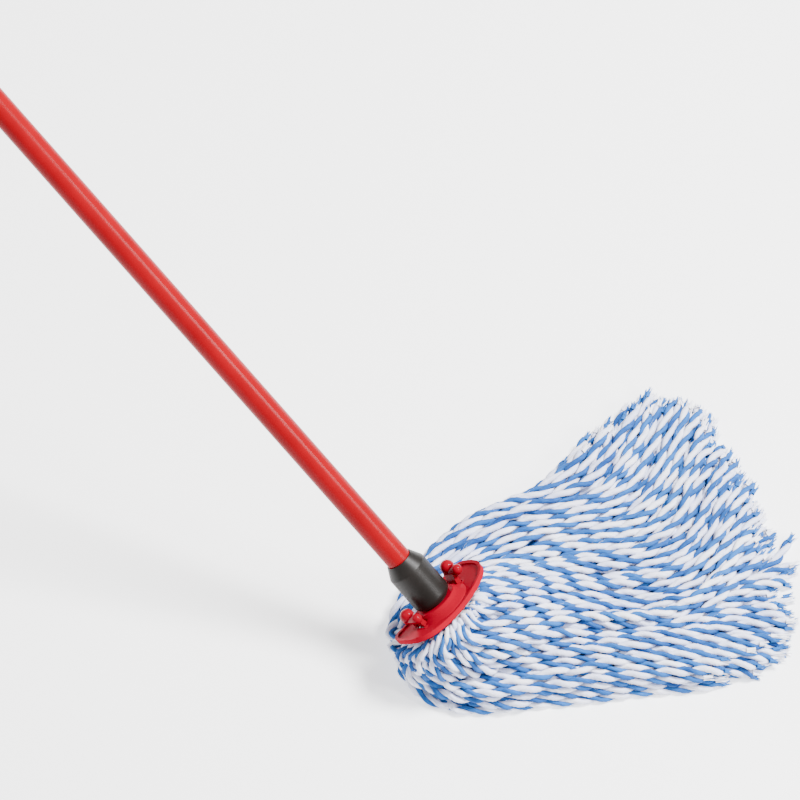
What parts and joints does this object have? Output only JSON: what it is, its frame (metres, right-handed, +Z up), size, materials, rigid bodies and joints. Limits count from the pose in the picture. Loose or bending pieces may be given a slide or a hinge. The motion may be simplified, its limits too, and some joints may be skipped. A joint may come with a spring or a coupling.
{
  "type": "string mop",
  "caption": "String mop: tube handle in a plastic collar, clip-on oval head plate with two thumb latches, and a swept head of two-ply twisted yarn.",
  "frame": {"origin": "on the floor, straight below the middle of the clip plate", "axes": "+Z up. The handle leans back towards -X, 40.3 degrees above the floor, in the XZ plane. The two latches lie on the Y direction, left towards +Y. The yarn is swept towards +X and +Y"},
  "size_m": [1.2286, 0.3538, 0.8929],
  "materials": {
    "lacquered_tube": "glossy red lacquer on steel tube",
    "collar_plastic": "satin dark grey moulding",
    "clip_plastic": "glossy crimson moulding",
    "cap_plastic": "satin dark grey moulding",
    "hidden_plastic": "plain grey moulding",
    "steel": "bright zinc plated",
    "tape": "stitched white tape",
    "yarn": "two-ply twisted microfibre yarn, white and blue"
  },
  "bodies": {
    "head": {"clip_plate": "clip_plastic", "collar": "collar_plastic", "left_latch_pin": "steel", "right_latch_pin": "steel", "left_latch_spring": "steel", "right_latch_spring": "steel", "clamp_ring": "hidden_plastic", "clamp_screws": "steel", "binding_band": "tape", "yarn_neck": "yarn", "yarn_fan_1": "yarn", "yarn_fan_2": "yarn", "yarn_fan_3": "yarn", "yarn_fan_4": "yarn", "yarn_fan_5": "yarn", "yarn_fan_6": "yarn", "yarn_fan_7": "yarn", "yarn_fan_8": "yarn", "yarn_fan_9": "yarn", "yarn_fan_10": "yarn"},
    "handle": {"handle_tube": "lacquered_tube", "threaded_ferrule": "hidden_plastic", "hanging_cap": "cap_plastic"},
    "left_latch": {"left_latch": "clip_plastic"},
    "right_latch": {"right_latch": "clip_plastic"}
  },
  "joints": [
    {"name": "handle_turn", "type": "hinge", "parent": "head", "child": "handle", "pos_m": [-0.03508, 0, 0.09175], "axis": [-0.7627, 0, 0.6468], "range_deg": [0, 1710]},
    {"name": "left_latch_squeeze", "type": "hinge", "parent": "head", "child": "left_latch", "pos_m": [-0.00122, 0.024, 0.06303], "axis": [0.6468, 0, 0.7627], "range_deg": [0, 10], "stiffness_Nm_per_rad": 0.25, "springref_deg": -11.46, "deforming": ["left_latch_spring"]},
    {"name": "right_latch_squeeze", "type": "hinge", "parent": "head", "child": "right_latch", "pos_m": [-0.00122, -0.024, 0.06303], "axis": [-0.6468, 0, -0.7627], "range_deg": [0, 10], "stiffness_Nm_per_rad": 0.25, "springref_deg": -11.46, "deforming": ["right_latch_spring"]}
  ]
}
